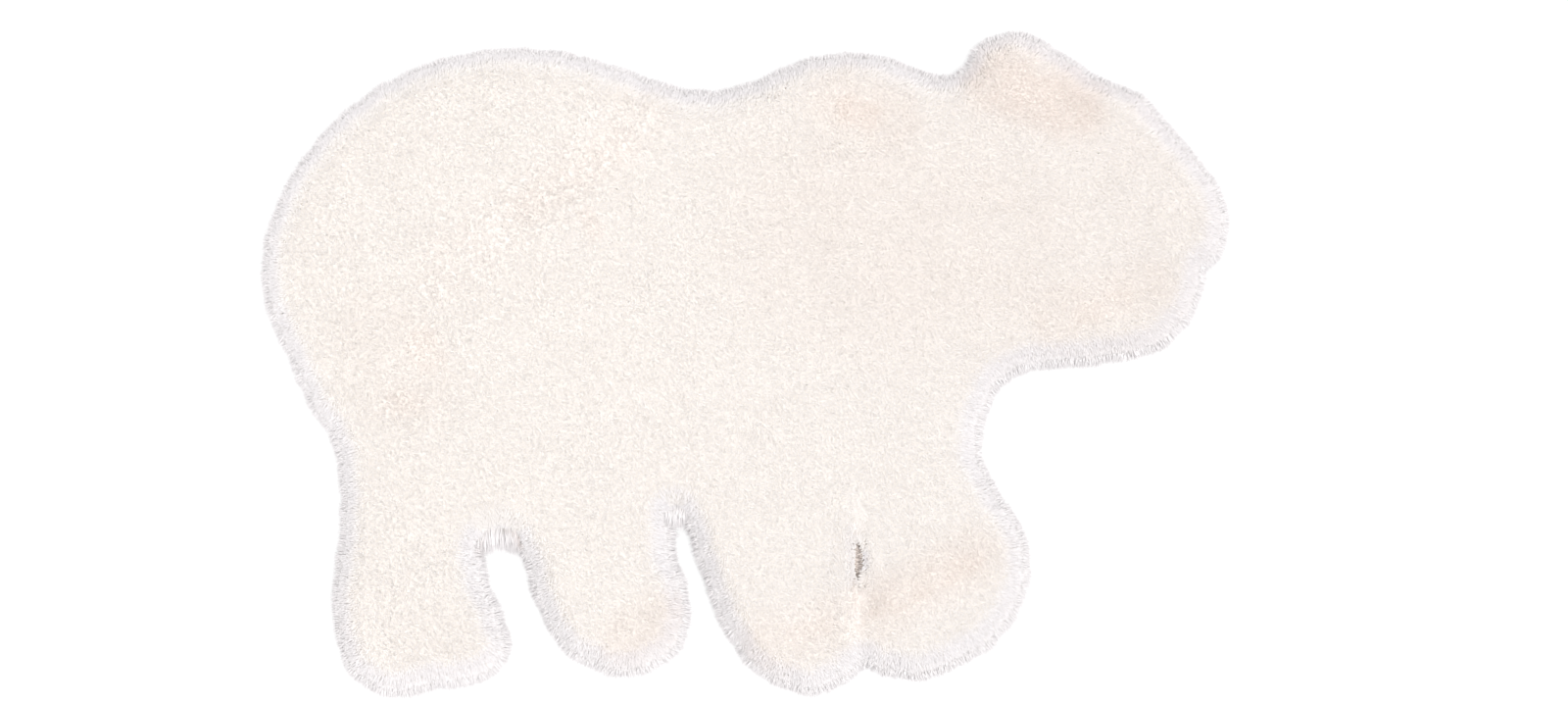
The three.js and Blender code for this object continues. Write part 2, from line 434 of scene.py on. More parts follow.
@dataclass
class PeltShape:
    """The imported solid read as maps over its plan: how far in from the edge, which way is out, and how high."""

    node: str
    step: float = 0.002
    margin: float = 0.016
    pile_run: float = 0.0090
    slit_run: float = 0.0010
    edge_turn: float = math.radians(26.0)
    edge_turn_span: tuple[float, float] = (-0.0020, 0.0110)
    level: float = 0.001
    nudges: tuple[tuple[float, float], ...] = ((0.0, 0.0), (3e-5, -2.1e-5), (-5e-5, 3.5e-5))
    smoothings: int = 3
    low: np.ndarray = field(init=False)
    inset: np.ndarray = field(init=False)
    out_x: np.ndarray = field(init=False)
    out_y: np.ndarray = field(init=False)
    height: np.ndarray = field(init=False)

    def __post_init__(self) -> None:
        """Reads the maps from a merged copy of the solid's mesh."""
        merged = self.merged_copy()
        low, high = (np.array(corner)[:2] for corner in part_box(self.node))
        self.low = low - self.margin
        count = np.ceil((high + self.margin - self.low) / self.step).astype(int) + 1
        xs = self.low[0] + self.step * np.arange(count[0])
        ys = self.low[1] + self.step * np.arange(count[1])
        self.height = self.heights(merged, xs, ys)
        self.inset = self.distances(merged, xs, ys)
        self.inset[self.height <= 0.0] *= -1.0
        slope_x, slope_y = np.gradient(self.inset, self.step)
        steep = np.maximum(np.hypot(slope_x, slope_y), CLOSE)
        self.out_x, self.out_y = self.smoothed(-slope_x / steep), self.smoothed(-slope_y / steep)
        self.height = self.bridged(xs, ys)
        merged.free()

    def merged_copy(self) -> bmesh.types.BMesh:
        """A copy of the solid's mesh with its loose triangles joined."""
        merged = bmesh.new()
        merged.from_mesh(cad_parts[self.node].data)
        bmesh.ops.remove_doubles(merged, verts=merged.verts, dist=CLOSE)
        return merged

    def axes(self) -> tuple[np.ndarray, np.ndarray]:
        """The places along and across the rug that the maps' columns and rows stand for."""
        return tuple(self.low[k] + self.step * np.arange(self.inset.shape[k]) for k in range(2))

    def heights(self, merged: bmesh.types.BMesh, xs: np.ndarray, ys: np.ndarray) -> np.ndarray:
        """Drops a ray at every place of the map, and another just beside it where the first finds no face.

        Args:
            merged: The solid's mesh.
            xs: The map's columns.
            ys: The map's rows.

        Returns:
            The height of the solid's top, and 0 where there is none.
        """
        tree = BVHTree.FromBMesh(merged)
        above, down = 1.0, Vector((0.0, 0.0, -1.0))
        heights = np.zeros((len(xs), len(ys)))
        for i, x in enumerate(xs):
            for j, y in enumerate(ys):
                for nudge_x, nudge_y in self.nudges:
                    hit = tree.ray_cast(Vector((x + nudge_x, y + nudge_y, above)), down)[0]
                    if hit is not None:
                        heights[i, j] = hit.z
                        break
        return heights

    def smoothed(self, values: np.ndarray) -> np.ndarray:
        """A map with each point averaged with its neighbours a few times over."""
        for _ in range(self.smoothings):
            padded = np.pad(values, 1, mode="edge")
            rows = (padded[:-2] + 2.0 * padded[1:-1] + padded[2:]) / 4.0
            values = (rows[:, :-2] + 2.0 * rows[:, 1:-1] + rows[:, 2:]) / 4.0
        return values

    def bridged(self, xs: np.ndarray, ys: np.ndarray) -> np.ndarray:
        """Carries the height of the pile across the slit, which the pile on both sides almost closes.

        Args:
            xs: The map's columns.
            ys: The map's rows.

        Returns:
            The heights, with a shallow trough along the slit.
        """
        x, y = np.meshgrid(xs, ys, indexing="ij")
        off_x, off_y, _ = SLIT.line.offset(x, y)
        off = np.maximum(np.hypot(off_x, off_y), CLOSE)
        beyond = np.maximum(SLIT.bridge - off, 0.0) / off
        carried = self.read(self.height, x + beyond * off_x, y + beyond * off_y)
        trough = SLIT.trough * np.clip(1.0 - off / SLIT.bridge, 0.0, 1.0) ** 2
        return np.where(off < SLIT.bridge, carried - trough, self.height)

    def distances(self, merged: bmesh.types.BMesh, xs: np.ndarray, ys: np.ndarray) -> np.ndarray:
        """Measures how far each place of the map is from the edge of the solid as seen from above.

        Args:
            merged: The solid's mesh.
            xs: The map's columns.
            ys: The map's rows.

        Returns:
            The distances, all of them positive.
        """
        rim = []
        for edge in merged.edges:
            rises = [face.normal.z for face in edge.link_faces]
            if len(rises) == 2 and min(rises) <= self.level < max(rises):
                rim.append([corner.co.xy for corner in edge.verts])
        start, end = np.array([pair[0] for pair in rim]), np.array([pair[1] for pair in rim])
        along = end - start
        length = np.maximum((along**2).sum(1), CLOSE**2)
        distances = np.empty((len(xs), len(ys)))
        for i, x in enumerate(xs):
            off_x, off_y = x - start[:, 0], ys[:, None] - start[:, 1]
            share = np.clip((off_x * along[:, 0] + off_y * along[:, 1]) / length, 0.0, 1.0)
            gap = (off_x - share * along[:, 0]) ** 2 + (off_y - share * along[:, 1]) ** 2
            distances[i] = np.sqrt(gap.min(1))
        return distances

    def reserve(self, x: np.ndarray, y: np.ndarray) -> np.ndarray:
        """How far inside the outline the backing ends, which is less beside the slit."""
        return self.pile_run + (self.slit_run - self.pile_run) * SLIT.nearness(x, y)

    def slope(self, x: np.ndarray, y: np.ndarray) -> np.ndarray:
        """The direction that the surface of the pile faces, which turns outwards towards the edge.

        Args:
            x: Places along the rug.
            y: Places across the rug.

        Returns:
            A direction of length 1 for each place, one row each.
        """
        inset = self.read(self.inset, x, y)
        out_x, out_y = self.read(self.out_x, x, y), self.read(self.out_y, x, y)
        turn = self.edge_turn * (1.0 - smoothstep(*self.edge_turn_span, inset)) * SLIT.apart(x, y)
        return unit(np.column_stack([np.sin(turn) * out_x, np.sin(turn) * out_y, np.cos(turn)]))

    def read(self, values: np.ndarray, x: np.ndarray, y: np.ndarray) -> np.ndarray:
        """Reads one of the maps between its points.

        Args:
            values: The map.
            x: Places along the rug.
            y: Places across the rug.

        Returns:
            The map's value at each place.
        """
        u = np.clip((x - self.low[0]) / self.step, 0, values.shape[0] - 1.001)
        v = np.clip((y - self.low[1]) / self.step, 0, values.shape[1] - 1.001)
        i, j = u.astype(int), v.astype(int)
        s, t = u - i, v - j
        left = values[i, j] * (1 - t) + values[i, j + 1] * t
        right = values[i + 1, j] * (1 - t) + values[i + 1, j + 1] * t
        return left * (1 - s) + right * s


@dataclass(frozen=True)
class PlushFinish:
    """The fibre of the pile: cream at the tips and darker towards the roots, as painted shade of the pile's depth,
    with tints for warmer places and the edge; the warm tint also carries painted shade in places, and the edge's cool
    tint is painted light and shade of the pile's sides.
    """

    tip: tuple[float, float, float] = (0.932, 0.892, 0.868)
    # Darker and warmer at the roots: painted shade of the pile's depth
    root: tuple[float, float, float] = (0.900, 0.850, 0.795)
    warm_tint: tuple[float, float, float] = (0.948, 0.893, 0.862)
    # The edge's cool tint: painted light and shade of the pile's sides
    edge_shade_tint: tuple[float, float, float] = (0.976, 0.985, 1.020)
    tip_from: float = 0.75
    roughness: float = 0.9
    sheen: float = 0.25
    specular: float = 0.15

    def material(self, name: str) -> bpy.types.Material:
        """Builds the plush material.

        Args:
            name: What the material is called.

        Returns:
            A material that reads each hair's own attributes.
        """
        material, shader = plain_material(name, self.roughness, self.specular)
        shader.inputs["Sheen Weight"].default_value = self.sheen
        tree = material.node_tree
        reach = self.attribute(tree, "reach")
        depth = tree.nodes.new("ShaderNodeMapRange")
        depth.interpolation_type = "SMOOTHSTEP"
        depth.inputs["From Max"].default_value = self.tip_from
        tree.links.new(reach, depth.inputs["Value"])
        colour = self.mix(tree, depth.outputs["Result"], self.root, self.tip)
        plain = (1.0, 1.0, 1.0)
        warmth = self.mix(tree, self.attribute(tree, "warmth"), plain, self.warm_tint)
        edge = self.mix(tree, self.attribute(tree, "edge"), plain, self.edge_shade_tint)
        for factor in (warmth, edge, self.attribute(tree, "tone")):
            product = tree.nodes.new("ShaderNodeMixRGB")
            product.blend_type = "MULTIPLY"
            product.inputs["Fac"].default_value = 1.0
            tree.links.new(colour, product.inputs["Color1"])
            tree.links.new(factor, product.inputs["Color2"])
            colour = product.outputs["Color"]
        tree.links.new(colour, shader.inputs["Base Color"])
        return material

    @staticmethod
    def attribute(tree: bpy.types.NodeTree, name: str) -> bpy.types.NodeSocket:
        """Adds a node that reads one of the piece's own attributes.

        Args:
            tree: The material's nodes.
            name: The attribute.

        Returns:
            The node's value socket.
        """
        node = tree.nodes.new("ShaderNodeAttribute")
        node.attribute_name = name
        return node.outputs["Fac"]

    @staticmethod
    def mix(
        tree: bpy.types.NodeTree,
        share: bpy.types.NodeSocket,
        first: bpy.types.NodeSocket | tuple[float, float, float],
        second: tuple[float, float, float],
    ) -> bpy.types.NodeSocket:
        """Mixes two colours.

        Args:
            tree: The material's nodes.
            share: How much of the second colour there is.
            first: A colour, or the socket that gives it.
            second: The other colour.

        Returns:
            The mixed colour's socket.
        """
        node = tree.nodes.new("ShaderNodeMixRGB")
        tree.links.new(share, node.inputs["Fac"])
        if isinstance(first, tuple):
            node.inputs["Color1"].default_value = (*first, 1.0)
        else:
            tree.links.new(first, node.inputs["Color1"])
        node.inputs["Color2"].default_value = (*second, 1.0)
        return node.outputs["Color"]


@dataclass(frozen=True)
class BackingFinish:
    """The plain woven backing that the pile grows from, seen only from below."""

    thread: tuple[float, float, float] = (0.80, 0.77, 0.72)
    gap: tuple[float, float, float] = (0.62, 0.59, 0.54)
    pitch: float = 0.0016
    wander: float = 0.6
    relief: float = 0.4
    relief_depth: float = 0.0004
    roughness: float = 0.92
    specular: float = 0.12

    def material(self, name: str) -> bpy.types.Material:
        """Builds the backing's material, a plain weave in two directions.

        Args:
            name: What the material is called.

        Returns:
            A material that reads object coordinates.
        """
        material, shader = plain_material(name, self.roughness, self.specular)
        tree = material.node_tree
        place = tree.nodes.new("ShaderNodeTexCoord").outputs["Object"]
        waves = []
        for direction in ("X", "Y"):
            wave = tree.nodes.new("ShaderNodeTexWave")
            wave.bands_direction = direction
            wave.inputs["Scale"].default_value = math.pi / (10.0 * self.pitch)  # one wave to a pitch
            wave.inputs["Distortion"].default_value = self.wander
            wave.inputs["Detail"].default_value = 1.0
            tree.links.new(place, wave.inputs["Vector"])
            waves.append(wave.outputs["Fac"])
        weave = tree.nodes.new("ShaderNodeMath")
        weave.operation = "MULTIPLY"
        tree.links.new(waves[0], weave.inputs[0])
        tree.links.new(waves[1], weave.inputs[1])
        colour = PlushFinish.mix(tree, weave.outputs[0], self.gap, self.thread)
        tree.links.new(colour, shader.inputs["Base Color"])
        bump = tree.nodes.new("ShaderNodeBump")
        bump.inputs["Strength"].default_value = self.relief
        bump.inputs["Distance"].default_value = self.relief_depth
        tree.links.new(weave.outputs[0], bump.inputs["Height"])
        tree.links.new(bump.outputs["Normal"], shader.inputs["Normal"])
        return material


@dataclass
class Pelt:
    """The backing with the dense underfur on it, drawn in from the solid by the length of the pile."""

    shape: PeltShape
    cell: float = 0.006
    thickness_share: float = 0.70
    under: float = 0.0004
    edge_height: float = 0.0020
    edge_round: float = 0.0060
    smooth_angle: float = math.radians(50.0)
    level_below: float = -0.99
    backing_below: float = -0.7
    level_angle: float = 0.01
    # The underfur takes the roots' darker colour, painted shade of its depth, and near the edge the cool tint,
    # painted light and shade of the sides
    underfur_reach: float = 0.18
    edge_shade_tint_width: float = 0.02
    mottle: SoftNoise = SoftNoise(0.004, 5)
    mottle_tone: float = 0.03

    def build(self) -> bpy.types.Object:
        """Models the pelt as a grid over the solid's maps that is walled down to a flat underside.

        Returns:
            The pelt, still without a finish.
        """
        x, y, quads, rim = self.grid()
        count = len(x)
        room = np.maximum(self.shape.read(self.shape.inset, x, y) - self.shape.reserve(x, y), 0.0)
        rounded = np.sqrt(1.0 - (1.0 - np.minimum(room / self.edge_round, 1.0)) ** 2)
        full = self.thickness_share * self.shape.read(self.shape.height, x, y)
        top = self.edge_height + np.maximum(full - self.edge_height, 0.0) * rounded
        places = np.concatenate([np.column_stack([x, y, z]) for z in (self.under + top, np.full(count, self.under))])
        walls = np.column_stack([rim[:, 1], rim[:, 0], rim[:, 0] + count, rim[:, 1] + count])
        mesh = bpy.data.meshes.new("pelt")
        mesh.from_pydata(places.tolist(), [], np.concatenate([quads, quads[:, ::-1] + count, walls]).tolist())
        self.flatten_underside(mesh)
        pelt = bpy.data.objects.new("pelt", mesh)
        bpy.context.scene.collection.objects.link(pelt)
        make_active(pelt)
        bpy.ops.object.shade_smooth_by_angle(angle=self.smooth_angle)
        return pelt

    def grid(self) -> tuple[np.ndarray, np.ndarray, np.ndarray, np.ndarray]:
        """Lays square cells over the pelt and moves the outer corners onto its edge.

        Returns:
            The corners' x and y, the four corners of each cell, and the two corners of each side on the edge.
        """
        (low_x, low_y, _), (high_x, high_y, _) = CAD_BOX
        xs, ys = np.arange(low_x, high_x + self.cell, self.cell), np.arange(low_y, high_y + self.cell, self.cell)
        x, y = (axis.ravel() for axis in np.meshgrid(xs, ys, indexing="ij"))
        room = self.shape.read(self.shape.inset, x, y) - self.shape.reserve(x, y)
        first = (np.arange(len(xs) - 1)[:, None] * len(ys) + np.arange(len(ys) - 1)).ravel()
        quads = np.column_stack([first, first + len(ys), first + len(ys) + 1, first + 1])
        quads = quads[(room[quads] > -0.5 * self.cell).all(axis=1)]
        sides = np.concatenate([quads[:, [k, (k + 1) % 4]] for k in range(4)])
        _, where, times = np.unique(np.sort(sides, axis=1), axis=0, return_index=True, return_counts=True)
        rim = sides[where[times == 1]]
        outer = np.unique(rim)
        x[outer] += room[outer] * self.shape.read(self.shape.out_x, x[outer], y[outer])
        y[outer] += room[outer] * self.shape.read(self.shape.out_y, x[outer], y[outer])
        used, renumbered = np.unique(quads, return_inverse=True)
        number = np.zeros(len(x), dtype=int)
        number[used] = np.arange(len(used))
        return x[used], y[used], renumbered.reshape(quads.shape), number[rim]

    def flatten_underside(self, mesh: bpy.types.Mesh) -> None:
        """Joins the cells of the flat underside into few faces.

        Args:
            mesh: The pelt's mesh, which is changed.
        """
        edited = bmesh.new()
        edited.from_mesh(mesh)
        edited.normal_update()
        below = self.level_below
        edges = [edge for edge in edited.edges if all(face.normal.z < below for face in edge.link_faces)]
        corners = [corner for corner in edited.verts if any(face.normal.z < below for face in corner.link_faces)]
        flat = self.level_angle
        bmesh.ops.dissolve_limit(edited, angle_limit=flat, verts=corners, edges=edges, delimit={"NORMAL"})
        edited.to_mesh(mesh)
        edited.free()

    def dress(self, pelt: bpy.types.Object, plush: PlushFinish, backing: BackingFinish) -> None:
        """Gives the top the pile's fibre and the underside its weave.

        Args:
            pelt: The pelt.
            plush: The pile's finish.
            backing: The underside's finish.
        """
        mesh = pelt.data
        mesh.materials.append(plush.material("plush_underfur"))
        mesh.materials.append(backing.material("woven_backing"))
        facing = np.empty(len(mesh.polygons) * 3)
        mesh.polygons.foreach_get("normal", facing)
        below = (facing[2::3] < self.backing_below).astype(np.int32)
        mesh.polygons.foreach_set("material_index", below)
        places = np.empty(len(mesh.vertices) * 3)
        mesh.vertices.foreach_get("co", places)
        x, y = places[0::3], places[1::3]
        # Painted shade: the underfur's darker root colour; painted light and shade: the edge's cool tint
        put_values(mesh, {
            "reach": np.full(len(x), self.underfur_reach),
            "warmth": np.zeros(len(x)),
            "edge": 1.0 - smoothstep(0.0, self.edge_shade_tint_width, self.shape.read(self.shape.inset, x, y)),
            "tone": 1.0 + self.mottle_tone * self.mottle.at(x, y),
        })


@dataclass
class Strands:
    """Hairs as arrays, one row for each: three points along it, its width and what its colour is worked out from."""

    form: HairForm
    root: np.ndarray
    middle: np.ndarray
    tip: np.ndarray
    width: np.ndarray
    facing: np.ndarray
    warmth: np.ndarray
    edge: np.ndarray
    tone: np.ndarray
    fade: float = 0.0

    def pick(self, chosen: np.ndarray) -> "Strands":
        """Takes some of the hairs."""
        taken = {key: value[chosen] for key, value in vars(self).items() if isinstance(value, np.ndarray)}
        return replace(self, **taken)

    @property
    def count(self) -> int:
        """How many hairs there are."""
        return len(self.width)


@dataclass(frozen=True)
class Patchwork:
    """All the patches together, broken up as the real ones are."""

    patches: tuple[Patch, ...] = PATCHES
    whole: float = 0.80
    coarse: SoftNoise = SoftNoise(0.016, 31)
    coarse_share: float = 0.45
    fine: SoftNoise = SoftNoise(0.006, 32)
    fine_share: float = 0.25
    steady_warmth: float = 0.45

    def at(self, x: np.ndarray, y: np.ndarray) -> tuple[np.ndarray, np.ndarray, np.ndarray]:
        """Takes the strongest patch at each place.

        Args:
            x: Places along the rug.
            y: Places across the rug.

        Returns:
            The ruffle, the warmth and the painted shade at each place.
        """
        broken = self.whole + self.coarse_share * self.coarse.at(x, y) + self.fine_share * self.fine.at(x, y)
        broken = np.clip(broken, 0.0, 1.0)
        ruffle, warmth, shade = np.zeros(x.shape), np.zeros(x.shape), np.zeros(x.shape)
        for patch in self.patches:
            cover = patch.cover(x, y)
            ruffle = np.maximum(ruffle, patch.ruffle * cover * broken)
            tint = patch.warmth * cover * (self.steady_warmth + (1.0 - self.steady_warmth) * broken)
            warmth = np.maximum(warmth, tint)
            shade = np.maximum(shade, patch.shade * cover)
        return ruffle, warmth, shade

    def extra_length(self, x: np.ndarray, y: np.ndarray) -> np.ndarray:
        """How much longer the hanging hairs are at each place, as over the tops of the gaps between the legs."""
        return sum(patch.longer * patch.cover(x, y) for patch in self.patches if patch.longer > 0.0)


@dataclass(frozen=True)
class Nap:
    """The way that the pile is brushed, which wanders a little and runs straight down beside the slit."""

    angle: float = math.radians(-40.0)
    beside_slit: float = math.radians(-90.0)
    broad: SoftNoise = SoftNoise(0.07, 21)
    broad_turn: float = 0.20
    close: SoftNoise = SoftNoise(0.018, 22)
    close_turn: float = 0.25

    def at(self, x: np.ndarray, y: np.ndarray) -> tuple[np.ndarray, np.ndarray]:
        """Reads the way of the pile.

        Args:
            x: Places along the rug.
            y: Places across the rug.

        Returns:
            The x and y of a direction of length 1 at each place.
        """
        turn = self.angle + self.broad_turn * self.broad.at(x, y) + self.close_turn * self.close.at(x, y)
        turn += (self.beside_slit - turn) * SLIT.nearness(x, y)
        return np.cos(turn), np.sin(turn)


@dataclass(frozen=True)
class EdgeTones:
    """How the colour of the pile changes towards the edge, with light and shade painted there, and how its tone
    darkens towards the head and the paws.
    """

    light_angle: float = math.radians(-55.0)
    tint_width: float = 0.017
    lit_tint_width: float = 0.010
    tint_full: float = 0.45
    # The ring of painted shade inside the edge, on the side away from the light
    ring_rise: float = 0.005
    ring_fall: tuple[float, float] = (0.008, 0.018)
    ring_lit: float = 0.65
    ring_painted_shade: float = 0.105
    paling: tuple[float, float] = (0.030, -0.018)
    paling_from: float = -0.4

    def towards_light(self, out_x: np.ndarray, out_y: np.ndarray) -> np.ndarray:
        """Rates how much the edge turns to the light, from 0 to 1."""
        return 0.5 + 0.5 * (out_x * math.cos(self.light_angle) + out_y * math.sin(self.light_angle))

    def shares(self, lit: np.ndarray, inset: np.ndarray, apart: np.ndarray) -> tuple[np.ndarray, np.ndarray]:
        """Rates how much of the edge's cool tint each hair has, which is painted light and shade of the pile's sides,
        and how much of the painted shade inside the far edge.

        Args:
            lit: How much the edge turns to the light.
            inset: How far in each tip is.
            apart: How far each hair is from the slit.

        Returns:
            From 0 on the body to 1 at the edge, and from 0 to 1 in the ring of painted shade on the side away from
            the light.
        """
        # The cool tint, painted light and shade, reaches further in where the edge turns to the light
        tint = 1.0 - smoothstep(self.tint_full, 1.0, inset / (self.tint_width + self.lit_tint_width * lit))
        ring = smoothstep(0.0, self.ring_rise, inset) * (1.0 - smoothstep(*self.ring_fall, inset))
        return tint * apart, ring * np.clip(1.0 - lit / self.ring_lit, 0.0, 1.0) * apart

    def fading(self, x: np.ndarray, y: np.ndarray) -> np.ndarray:
        """How much darker the pile's tone is made towards the head and the paws."""
        along, across = x / CAD_BOX[1][0], y / CAD_BOX[1][1]
        return self.paling[0] * np.maximum(along, self.paling_from) + self.paling[1] * across


@dataclass
class Coat:
    """What every coat of the pile shares: the shape that it grows on, its patches, its nap and its tones."""

    shape: PeltShape
    patchwork: Patchwork = Patchwork()
    nap: Nap = Nap()
    tones: EdgeTones = EdgeTones()
    longest: float = 0.013
    slit_free: float = 0.3

    def outward(self, x: np.ndarray, y: np.ndarray) -> tuple[np.ndarray, np.ndarray]:
        """The x and y of the direction out of the rug at each place."""
        return self.shape.read(self.shape.out_x, x, y), self.shape.read(self.shape.out_y, x, y)

    def hung(self, x: np.ndarray, y: np.ndarray) -> np.ndarray:
        """Rates how much each place has the longer hanging hair, from 0 to 1."""
        return np.minimum(self.patchwork.extra_length(x, y) / self.longest, 1.0)


@dataclass
class TopCoat(Coat):
    """A coat over the whole top of the rug, of tufts or of finer hairs."""

    creases: Creases = field(default_factory=Creases)
    form: HairForm = HairForm.TUFT
    spacing: float = 0.00154
    width: float = 0.00278
    lean: float = 0.0018
    looseness: float = 0.0008
    root_seed: int = 11
    seed: int = 13
    extra_spacing: float = 1.7
    extra_seed: int = 50
    slit_extra: float = 0.5
    rim_band: float = 0.0035
    rim_seed: int = 70
    edge_fade: float = 0.021
    edge_calm: float = 0.6
    edge_short: float = 0.0018
    edge_widening: float = 1.4
    slit_calm: float = 0.6
    slit_fan: float = 0.0070
    fine_clumps: ClumpField = ClumpField(0.0034, 11)
    fine_gather: float = 0.25
    coarse_clumps: ClumpField = ClumpField(0.0075, 12)
    coarse_gather: float = 0.05
    ruffle_looseness: float = 0.0007
    ruffle_swing: float = 0.0007
    unlevel: float = 0.0014
    clump_unlevel: float = 0.0004
    ruffle_depth: float = 0.0006
    crease_depth: float = 0.0014
    lowest_tip: float = 0.0040
    root_share: float = 0.68
    lowest_root: float = 0.0010
    bend: tuple[float, float, float] = (0.38, 0.38, 0.60)
    tilt: float = 55.0
    most_tilt: float = 0.25
    width_range: tuple[float, float] = (0.75, 1.2)
    shade_tint: float = 10.0
    # Creases are painted warmer and darker, as shade in them; shaded patches and ruffled pile are painted darker
    crease_shade_warmth: float = 0.38
    unlike_tone: float = 0.009
    drift: SoftNoise = SoftNoise(0.05, 41)
    drift_tone: float = 0.004
    crease_painted_shade: float = 0.10
    shade_dim: float = 0.20
    ruffle_painted_shade: float = 0.008
    # Painted shade on the edge's lit side
    lit_edge_painted_shade: float = 0.065
    # Painted light beside the slit and just inside the edges that face away from the light
    slit_painted_light: float = 0.04
    painted_light: float = 0.030
    painted_light_rise: tuple[float, float] = (0.008, 0.014)
    painted_light_fall: tuple[float, float] = (0.024, 0.036)
    painted_light_across: float = 0.5
    hung_narrowing: float = 0.75

    def roots(self) -> tuple[np.ndarray, np.ndarray]:
        """Spreads roots over the pelt, closer together where the pile fans out over the edge and round the slit.

        Returns:
            The roots' x and y.
        """
        x, y = self.shaken_grid(self.spacing, self.root_seed)
        extra_x, extra_y = self.shaken_grid(self.spacing * self.extra_spacing, self.root_seed + self.extra_seed)
        fanned = self.room(extra_x, extra_y) < self.edge_fade
        fanned |= SLIT.nearness(extra_x, extra_y) > self.slit_extra
        rim_x, rim_y = self.shaken_grid(self.spacing, self.root_seed + self.rim_seed)
        outermost = self.room(rim_x, rim_y) < self.rim_band
        outermost &= SLIT.nearness(rim_x, rim_y) < self.slit_free
        return (
            np.concatenate([x, extra_x[fanned], rim_x[outermost]]),
            np.concatenate([y, extra_y[fanned], rim_y[outermost]]),
        )

    def room(self, x: np.ndarray, y: np.ndarray) -> np.ndarray:
        """How far inside the backing's edge each place is."""
        return self.shape.read(self.shape.inset, x, y) - self.shape.reserve(x, y)

    def shaken_grid(self, spacing: float, seed: int) -> tuple[np.ndarray, np.ndarray]:
        """Puts one root in each cell of a grid over the pelt.

        Args:
            spacing: The grid's step.
            seed: What the random shake starts from.

        Returns:
            The roots' x and y.
        """
        low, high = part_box(self.shape.node)
        xs, ys = np.arange(low.x, high.x, spacing), np.arange(low.y, high.y, spacing)
        x, y = (grid.ravel() for grid in np.meshgrid(xs, ys, indexing="ij"))
        shake = np.random.default_rng(seed).uniform(0.0, spacing, (2, len(x)))
        x, y = x + shake[0], y + shake[1]
        inside = self.shape.read(self.shape.inset, x, y) > self.shape.reserve(x, y)
        return x[inside], y[inside]

    def grow(self) -> Strands:
        """Works out how each hair lies and what colour it has.

        Returns:
            The hairs.
        """
        shape, rng = self.shape, np.random.default_rng(self.seed)
        x, y = self.roots()
        count = len(x)
        out_x, out_y = self.outward(x, y)
        ruffle, warmth, shade = self.patchwork.at(x, y)
        reserve, beside_slit = shape.reserve(x, y), SLIT.nearness(x, y)
        room, apart = self.room(x, y), SLIT.apart(x, y)
        near_edge = apart * (1.0 - smoothstep(0.0, self.edge_fade, room))

        # Each hair leans with the nap, strays a little and is drawn to its clump
        nap_x, nap_y = self.nap.at(x, y)
        stray = rng.normal(0.0, 1.0, (2, count))
        run = self.lean * (1.0 - self.edge_calm * near_edge)
        loose = (self.looseness + self.ruffle_looseness * ruffle) * (1.0 - self.slit_calm * beside_slit)
        shift_x, shift_y = run * nap_x + loose * stray[0], run * nap_y + loose * stray[1]
        fine_x, fine_y, fine_lot = self.fine_clumps.nearest(x, y)
        pull = self.fine_gather * (1.0 - near_edge)
        shift_x += pull * (fine_x - x)
        shift_y += pull * (fine_y - y)
        coarse_x, coarse_y, coarse_lot = self.coarse_clumps.nearest(x, y)
        turn = 2.0 * math.pi * coarse_lot
        gather, swing = self.coarse_gather * ruffle, self.ruffle_swing * ruffle
        shift_x += gather * (coarse_x - x) + swing * np.cos(turn)
        shift_y += gather * (coarse_y - y) + swing * np.sin(turn)
        push_x, push_y, crease = self.creases.part(x + shift_x, y + shift_y)
        shift_x += push_x
        shift_y += push_y

        # The outer hairs hang over the edge, and those beside the slit over its slot
        hang = (reserve - self.edge_short) * (1.0 - beside_slit) + (reserve + SLIT.overhang(x, y)) * beside_slit
        fan = hang * (near_edge + (1.0 - smoothstep(0.0, self.slit_fan, room)) * beside_slit)
        tip_x, tip_y = x + shift_x + fan * out_x, y + shift_y + fan * out_y
        depth = rng.uniform(0.0, 1.0, count) * self.unlevel + self.clump_unlevel * fine_lot
        depth += ruffle * self.ruffle_depth * (rng.uniform(0.0, 1.0, count) + coarse_lot) + self.crease_depth * crease
        tip_z = np.maximum(shape.read(shape.height, tip_x, tip_y) - depth, self.lowest_tip)
        root_z = self.root_share * shape.read(shape.height, x, y) - self.lowest_root
        root = np.column_stack([x, y, np.maximum(root_z, self.lowest_root)])
        tip = np.column_stack([tip_x, tip_y, tip_z])
        middle = root + (tip - root) * np.array(self.bend)
        facing = shape.slope(tip_x, tip_y)
        tilt = self.tilt * np.column_stack([shift_x - run * nap_x, shift_y - run * nap_y, np.zeros(count)])
        facing += np.clip(tilt, -self.most_tilt, self.most_tilt)

        # The colour, with painted light and shade in it: over the gaps the body's own colour runs on almost to the
        # hanging hairs
        lit = self.tones.towards_light(out_x, out_y)
        inset = shape.read(shape.inset, tip_x, tip_y)
        turned_down, _ = self.tones.shares(lit, inset, apart)
        edge, ring = self.tones.shares(lit, inset / (1.0 - self.hung_narrowing * self.hung(x, y)), apart)
        # Shaded patches take the edge's cool tint, as painted shade
        edge = np.maximum(edge, np.minimum(self.shade_tint * shade, 1.0))
        # Painted shade: creases warmer and darker, shaded patches darker, the ruffled pile a little darker
        warmth = np.clip(warmth + self.crease_shade_warmth * crease, 0.0, 1.0)
        tone = 1.0 + self.unlike_tone * rng.normal(0.0, 1.0, count) + self.drift_tone * self.drift.at(x, y)
        tone -= self.crease_painted_shade * crease + self.shade_dim * shade + self.ruffle_painted_shade * ruffle
        # Painted shade on the edge's lit side and in the ring away from the light; the tone also darkens towards the
        # head and the paws
        tone -= self.lit_edge_painted_shade * turned_down * lit + self.tones.ring_painted_shade * ring + self.tones.fading(x, y)
